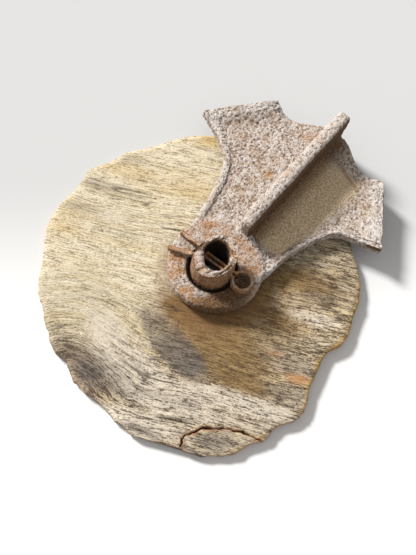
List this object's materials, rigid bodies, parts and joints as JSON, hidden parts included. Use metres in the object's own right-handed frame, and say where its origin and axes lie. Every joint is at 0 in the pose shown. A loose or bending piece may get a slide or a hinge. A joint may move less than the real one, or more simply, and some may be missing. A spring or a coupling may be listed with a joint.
{
  "type": "ribbed vane on board spindle",
  "caption": "Fan-shaped rusted iron vane with a tall centre rib, turning on a hollow spindle in a round weathered board and kept on by a split pin.",
  "frame": {"origin": "on the spindle's axis, in the plane of the board's back face", "axes": "+Z out of the board's front along the spindle; at rest the vane's rib points 50 degrees from +X towards +Y"},
  "size_m": [0.4351, 0.4661, 0.0812],
  "materials": {
    "weathered_wood": "rough",
    "rusted_cast_iron": "rough",
    "rusted_forging": "rough",
    "dark_steel": "rough"
  },
  "bodies": {
    "base": {"board": "weathered_wood", "spindle": "rusted_forging", "flange_screws": "dark_steel", "wear_washer": "dark_steel", "split_pin": "rusted_forging"},
    "vane": {"vane": "rusted_cast_iron"}
  },
  "joints": [
    {"name": "vane_swing", "type": "hinge", "parent": "base", "child": "vane", "pos_m": [0, 0, 0.028], "axis": [0, 0, 1], "continuous": true}
  ]
}
